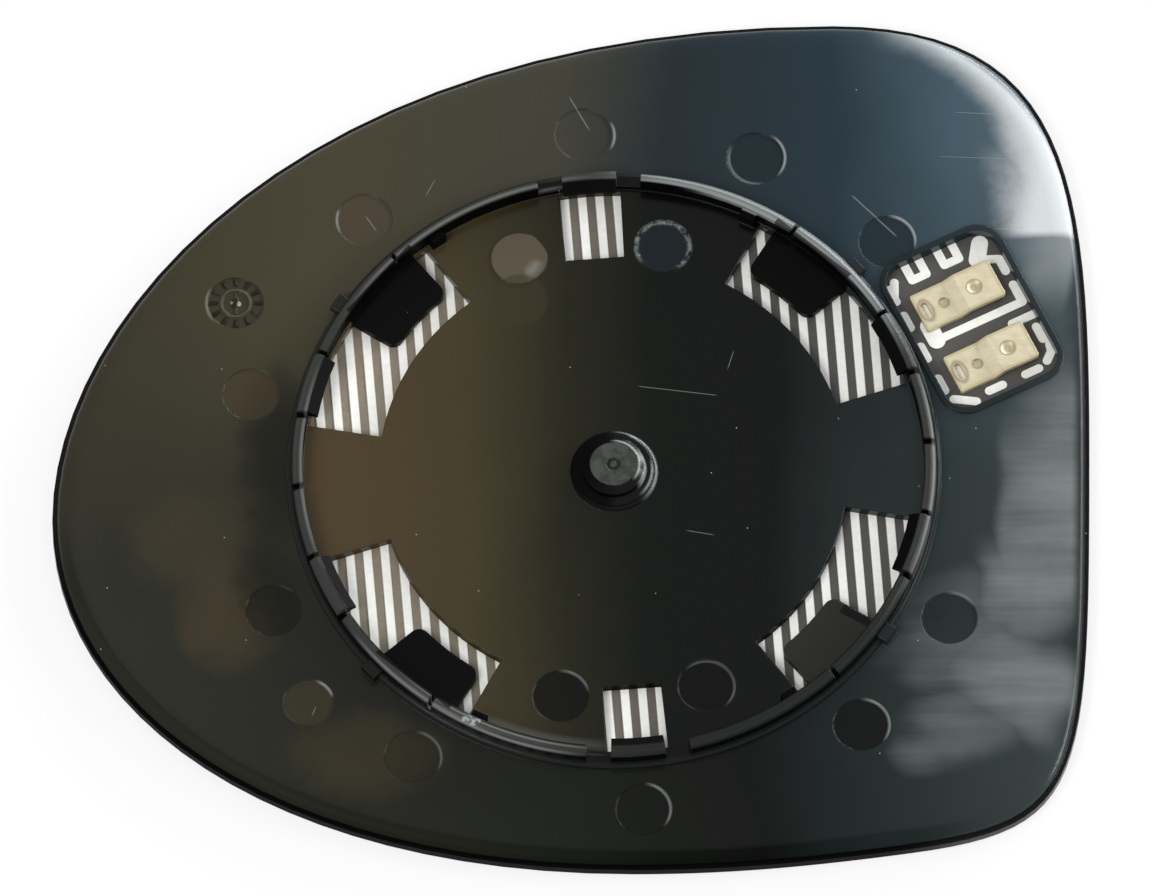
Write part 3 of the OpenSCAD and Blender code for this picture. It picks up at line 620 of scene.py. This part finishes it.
# %% Dial, lip, scratches and dust
DIAL = (-55.8, 27.4)        # middle of the date dial
DIAL_TICKS = 12
TAB_MIDDLE = (52.9, 24.7)   # middle of the terminal window
TAB_TURN = 26.5             # its turn, in degrees
LIP_SIZE = (19.8, 27.6)     # outside of the lip round that window
LIP_CORNER = 4.3
# start, end and half of the width
SCRATCHES = [
    ((-6.6, 61.0), (-3.5, 55.4), 0.12), ((-36.7, 41.7), (-34.9, 39.0), 0.10),
    ((35.1, 45.0), (41.9, 38.2), 0.14), ((3.5, 13.9), (15.4, 12.4), 0.08),
    ((10.6, -9.5), (15.0, -10.3), 0.08), ((-26.3, 47.6), (-27.8, 44.6), 0.08),
    ((50.4, 58.4), (57.8, 58.0), 0.08), ((48.0, 51.2), (60.0, 50.8), 0.06),
    ((16.8, 16.5), (17.8, 19.8), 0.08), ((-44.6, -39.8), (-43.9, -37.9), 0.12),
    ((55.9, 39.4), (61.2, 39.7), 0.08), ((46.6, 26.5), (50.4, 26.3), 0.05),
]


def date_dial(f, colour):
    """Paint the dial: dark ticks round a light ring, a pointer in the middle, and painted
    highlights.
    """
    away = away_from(f, DIAL)
    turn = f.maths("ARCTAN2", f.y - DIAL[1], f.x - DIAL[0]) * (DIAL_TICKS / math.tau) + 0.5
    off = (f.maths("FRACT", turn) - 0.5).size()
    ticks = f.fall(off, 0.16, 0.28) * f.step(away, 2.5, 2.8) * f.fall(away, 3.8, 4.1)
    colour = f.blend(f.fall(away, 4.1, 4.3) * 0.5, colour, plastic(56, 54, 42))
    colour = f.blend(ticks * 0.85, colour, plastic(38, 36, 26))
    colour = f.blend((1 - (away - 2.15).size() / 0.3).clamp() * 0.4, colour, plastic(110, 110, 96))
    # painted highlight: a pale arc at the dial's edge
    colour = f.blend(edge_arc(f, DIAL, 4.35, 155, 215) * 0.5, colour, plastic(150, 150, 136))
    colour = f.blend(f.fall(away, 0.6, 1.0) * 0.7, colour, plastic(34, 33, 25))
    # painted highlights: two glints in the dial's middle
    glint = f.largest(f.spot((DIAL[0] + 0.5, DIAL[1] - 0.1), (0.35, 0.45), 0.6),
                      f.spot((DIAL[0] - 0.6, DIAL[1] + 0.1), (0.25, 0.3), 0.6) * 0.6)
    return f.blend(glint * 0.7, colour, plastic(200, 200, 186))


def dust(f):
    """A few bright specks: one in some of the cells of a flat Voronoi pattern."""
    cells = f.node("ShaderNodeTexVoronoi", {"voronoi_dimensions": "2D", "feature": "F1"},
                   {"Vector": f.place, "Scale": 0.11}, out="Distance")
    chance = Signal(f, cells.socket.node.outputs["Color"])
    return f.fall(cells, 0.006, 0.014) * f.step(chance, 0.72, 0.76)


def small_things(f, colour):
    """Paint the dial, the painted shade on the window's lip and on the ledge, the scratches and
    the dust.
    """
    colour = date_dial(f, colour)
    lip_shade = rounded_box(f, TAB_MIDDLE, TAB_TURN, LIP_SIZE, LIP_CORNER)
    # painted shade on the lip round the terminal window
    colour = f.blend(lip_shade * 0.8, colour, plastic(36, 42, 44))
    # painted shade: the ledge round the rolled edge, and the side below it, are painted black
    colour = f.blend(f.fall(f.z, LEDGE - 0.1, LEDGE), colour, plastic(20, 21, 21))
    scrapes = f.largest(*(scratch(f, start, end, width) for start, end, width in SCRATCHES))
    colour = f.blend(scrapes * 0.55, colour, tint(150, 152, 146))
    colour = f.blend(dust(f) * 0.8, colour, tint(170, 172, 168))
    return colour, scrapes

# %% [markdown]
# All the paint then goes into one glossy shader. The Bevel node rounds its normals at the edges,
# and a little slow noise makes the flat field as wavy as real plastic. Where the moulding sees
# only the dark room, a dull shader with the same colours takes over, except on the rolled edge
# below and to the left, which is painted black there as painted shade. A Mix Shader with the mask
# of those places joins the two.

# %% Finish of the moulding
EDGE_RADIUS = 0.35          # radius that every edge seems to have


def black_moulding():
    """The moulding's whole finish, glossy where it sees the lamps and dull where it doesn't."""
    f = Finish("black_moulding")
    grain = f.noise(0.6, detail=3, rough=0.6)
    radius = away_from(f, (0, 0))
    # painted sheen: painted reflections of the lamps along the right side; the same mask roughens
    # the gloss
    sheen = painted_sheen(f)
    # the plate's colours are painted reflections of the room, with the painted sheen over them
    colour = f.blend(sheen, plate_reflections(f, radius), plastic(225, 229, 230))
    colour, tongues = marks_and_tongues(f, colour)
    colour, shade = ring_and_post(f, colour, radius, grain)
    colour, scrapes = small_things(f, colour)
    soft_edge = f.node("ShaderNodeBevel", {"samples": 4}, {"Radius": EDGE_RADIUS * MM})
    wavy = f.node("ShaderNodeBump", {}, {"Height": f.noise(0.05, detail=2), "Strength": 0.1,
                                         "Distance": 0.6 * MM, "Normal": soft_edge})
    glossy = f.shader({"Specular IOR Level": 0.2, "IOR": 1.5}, {
        "Base Color": colour, "Normal": wavy,
        "Roughness": 0.2 + (grain - 0.5) * 0.06 + scrapes * 0.2 + sheen * 0.1})
    # the rolled edge below and to the left sees only the dark room too, and is painted black
    # there, a painted shade
    roll = f.fall(f.z, FIELD - 0.3, FIELD - 0.1) * f.fall(f.y, -25, -5) * f.fall(f.x, 40, 55)
    dull = f.shader({"Specular IOR Level": 0.04, "Roughness": 0.5},
                    {"Base Color": f.blend(roll, plastic(20, 22, 20), colour)})
    shade = f.largest(shade, roll, tongues)
    print("nodes of the moulding's finish:", len(f.tree.nodes))
    return f.cover(f.node("ShaderNodeMixShader", {}, {0: shade, 1: glossy, 2: dull}))


plate.data.materials.clear()
plate.data.materials.append(black_moulding())

# %% [markdown]
# ## Film, conductor, glass and terminals
# The heater film is a dull grey foil that turns warmer to the left. The conductor on it is a
# pale printed paste with slightly uneven brightness, and it thins out at the edges of the
# stripes. The glass is silvered, with a greyer ground edge. None of them has a gloss worth a
# second shader, so each is one Principled shader.

# %% Film, conductor and glass
STRIPE_LEAN = 4.5           # degrees from the upright
STRIPE_PITCH = 2.58         # from stripe to stripe
STRIPE_PHASE = -1.11        # sideways place of the stripe nearest the post
STRIPE_EDGE = 0.56          # how far from a stripe's middle its paste begins to thin out
STRIPES_WITHIN = 48         # the windows that show them lie inside this radius


def film_finish():
    """A dull foil, warmer to the left, with small darker specks."""
    f = Finish("heater_foil")
    warm = f.fall(f.x, -40, 30)
    colour = f.blend(warm, tint(84, 82, 79), tint(138, 130, 113))
    speck = f.noise(1.6, detail=2)
    colour = f.blend((speck - 0.4) * 0.5, colour, tint(60, 56, 50))
    return f.surface({"Specular IOR Level": 0.3},
                     {"Base Color": colour, "Roughness": 0.45 + 0.2 * (speck - 0.5)})


def conductor_finish():
    """A pale paste that thins out at the long edges of the stripes."""
    f = Finish("printed_conductor")
    speck = f.noise(1.2, detail=3)
    colour = f.blend((speck - 0.4).clamp(), tint(250, 250, 244), tint(222, 221, 212))
    lean = math.radians(STRIPE_LEAN)
    row = (f.x * math.cos(lean) + f.y * math.sin(lean) - STRIPE_PHASE) / STRIPE_PITCH + 0.5
    off = (f.maths("FRACT", row) - 0.5).size() * STRIPE_PITCH
    thin = f.step(off, STRIPE_EDGE, STRIPE_EDGE + 0.08) * disc(f, (0, 0), STRIPES_WITHIN)
    colour = f.blend(thin * 0.7, colour, tint(130, 125, 115))
    return f.surface({"Specular IOR Level": 0.3},
                     {"Base Color": colour, "Roughness": 0.42 + 0.2 * (speck - 0.5)})


def glass_finish():
    """Silvered glass: bright below, greyer towards the top of its edge."""
    f = Finish("silvered_glass")
    clean = f.noise(0.2, detail=2)
    edge = f.step(f.z, 0.1, 1.9)
    colour = f.blend(edge, tint(196, 204, 206), tint(150, 166, 166))
    return f.surface({"Metallic": 0.85, "Coat Weight": 0.6, "Coat Roughness": 0.05},
                     {"Base Color": colour, "Roughness": 0.1 + 0.06 * clean})

# %% [markdown]
# The tabs are stamped from tinned brass: a cream coloured metal, darker along its edges, rolled
# in one direction. So the noise is stretched along the tab, after a Mapping node has turned it.
# The slot, the dimple and the detent have dark rims, and painted shade darkens their insides.

# %% Terminals
TAB_SHIFT = 0.9             # how far the pair of tabs lies below the window's middle
TAB_PITCH = 11.1            # from tab to tab
TAB_LENGTH = 12.9
TAB_WIDTH = 6.3
# slot, dimple and detent of a tab: place along it, radius, width of the rim and sideways stretch
TAB_DENTS = [(-5.15, 1.0, 0.35, 1.7), (-2.25, 0.75, 0.28, 1.0), (2.75, 1.1, 0.3, 1.0)]


def tab_finish():
    """Tinned brass, rolled lengthwise, dark at its edges and round its three dents, with painted
    shade inside them.
    """
    f = Finish("tinned_brass")
    turned = f.node("ShaderNodeMapping", {},
                    {"Vector": f.place, "Rotation": (0, 0, math.radians(-TAB_TURN)),
                     "Scale": (0.4, 3.0, 1.0)})
    rolled = f.node("ShaderNodeTexNoise", {},
                    {"Vector": turned, "Scale": 0.9, "Detail": 4.0, "Roughness": 0.6})
    stain = f.noise(0.5, detail=3)
    colour = f.blend((rolled - 0.3).clamp(), tint(226, 216, 186), tint(196, 184, 148))
    colour = f.blend((stain - 0.45).clamp(), colour, tint(168, 150, 106))
    # the tab's own directions: lengthwise from the middle to the tip, and across
    turn = math.radians(TAB_TURN)
    x = f.x - TAB_MIDDLE[0]
    y = f.y - TAB_MIDDLE[1]
    lengthwise = x * math.cos(turn) + y * math.sin(turn)
    across = (y * math.cos(turn) - x * math.sin(turn) + TAB_SHIFT).size() - TAB_PITCH / 2
    inward = f.maths("MINIMUM", TAB_LENGTH / 2 - lengthwise.size(),
                     TAB_WIDTH / 2 - across.size())
    colour = f.blend(f.fall(inward, 0.15, 0.7) * 0.45, colour, tint(164, 146, 100))
    dents = []
    for place, reach, ring, stretch in TAB_DENTS:
        along = lengthwise - place
        wide = across / stretch
        away = (along * along + wide * wide) ** 0.5
        rim = (1 - (away - reach).size() / ring).clamp()
        dents.append(f.fall(away, reach - 0.4, reach))
        # painted shade inside each dent
        colour = f.blend(dents[-1] * 0.4, colour, tint(150, 132, 92))
        colour = f.blend(rim * 0.6, colour, tint(112, 92, 52))
    soft_edge = f.node("ShaderNodeBevel", {"samples": 6}, {"Radius": 0.15 * MM})
    bump = f.node("ShaderNodeBump", {}, {"Height": rolled, "Strength": 0.15, "Distance": 0.1 * MM,
                                         "Normal": soft_edge})
    return f.surface({"Metallic": 0.35, "Specular IOR Level": 0.5},
                     {"Base Color": colour, "Normal": bump,
                      "Roughness": 0.36 + 0.2 * (rolled - 0.5) + f.largest(*dents) * 0.2})

# %% [markdown]
# These parts keep their CAD meshes, because the edges of a foil and of thin metal are finer than
# the camera can see. Each of them only swaps the loader's material for its own finish.

# %% Dress the smaller parts
def dress(node, material):
    """Give a CAD node its finish; its mesh stays as it is."""
    piece = nodes[node]
    piece.data.materials.clear()
    piece.data.materials.append(material)
    print(node, "has the finish", material.name)


dress("heater_film", film_finish())
dress("heater_track", conductor_finish())
dress("mirror_glass", glass_finish())
tab_metal = tab_finish()
for tab in ("terminal_upper", "terminal_lower"):
    dress(tab, tab_metal)

# %% [markdown]
# ## Floor and light
# The part lies on a plain white floor. A floor under soft lamps is only nearly white, so what
# the camera, a gloss or a glass sees of it is mixed with a steady white, and the rest of the mix
# keeps the part's shadow.

# %% Floor
def add_floor():
    """A wide floor that looks white and still takes the part's shadow."""
    bpy.ops.mesh.primitive_plane_add(size=12, location=(0, 0, -0.02 * MM))
    floor = bpy.context.object
    floor.name = "studio_floor"
    bpy.ops.object.transform_apply(location=True, rotation=True, scale=True)
    f = Finish("white_floor")
    by_camera = f.node("ShaderNodeLightPath", out="Is Camera Ray")
    path = by_camera.socket.node.outputs
    seen = by_camera + Signal(f, path["Is Glossy Ray"]) + Signal(f, path["Is Transmission Ray"])
    dull = f.node("ShaderNodeBsdfDiffuse", {}, {"Color": (0.86, 0.86, 0.86, 1)})
    white = f.node("ShaderNodeEmission", {}, {"Color": (1, 1, 1, 1), "Strength": 1.0})
    mixed = f.node("ShaderNodeMixShader", {}, {0: seen.clamp() * 0.75, 1: dull, 2: white})
    floor.data.materials.append(f.cover(mixed))
    print("floor:", [round(side, 1) for side in floor.dimensions], "m")


add_floor()

# %% [markdown]
# A gloss mirrors its lamps, so their places matter more than their number. A long low lamp stands
# behind the part's upper right like a window. A smaller one beyond its right end lights the short
# side, and a weak one at the lower left keeps the left side from going black.

# %% Lights
def add_softbox(name, place, size, power, colour):
    """A soft lamp that looks at the part: place and size in metres, power in watts."""
    bpy.ops.object.light_add(type="AREA", location=place)
    lamp = bpy.context.object
    lamp.name = name
    lamp.data.shape = "RECTANGLE"
    lamp.data.size, lamp.data.size_y = size
    lamp.data.energy = power
    lamp.data.color = colour
    lamp.rotation_euler = (LOOK_AT - Vector(place)).to_track_quat("-Z", "Y").to_euler()
    print(name, "stands", round((LOOK_AT - Vector(place)).length, 2), "m away")


add_softbox("window_light", (0.916, 1.018, 0.291), (1.5, 0.18), 21.0, (0.97, 0.99, 1.0))
add_softbox("end_light", (1.31, 0.115, 0.479), (0.5, 0.18), 7.0, (0.97, 0.99, 1.0))
add_softbox("side_softbox", (-0.5, -0.5, 0.9), (0.5, 0.5), 6.0, (1.0, 0.99, 0.97))

# %% [markdown]
# A dim even sky fills the shadows, as a white ceiling does. The Standard view transform then
# shows the colours as the finishes give them.

# %% Sky
SKY_STRENGTH = 0.62


def add_sky():
    """An even, slightly blue light from everywhere."""
    world = bpy.data.worlds.new("studio_sky")
    bpy.context.scene.world = world
    world.use_nodes = True
    sky = world.node_tree.nodes["Background"]
    sky.inputs["Color"].default_value = (0.97, 0.98, 1.0, 1)
    sky.inputs["Strength"].default_value = SKY_STRENGTH


add_sky()
bpy.context.scene.view_settings.view_transform = "Standard"
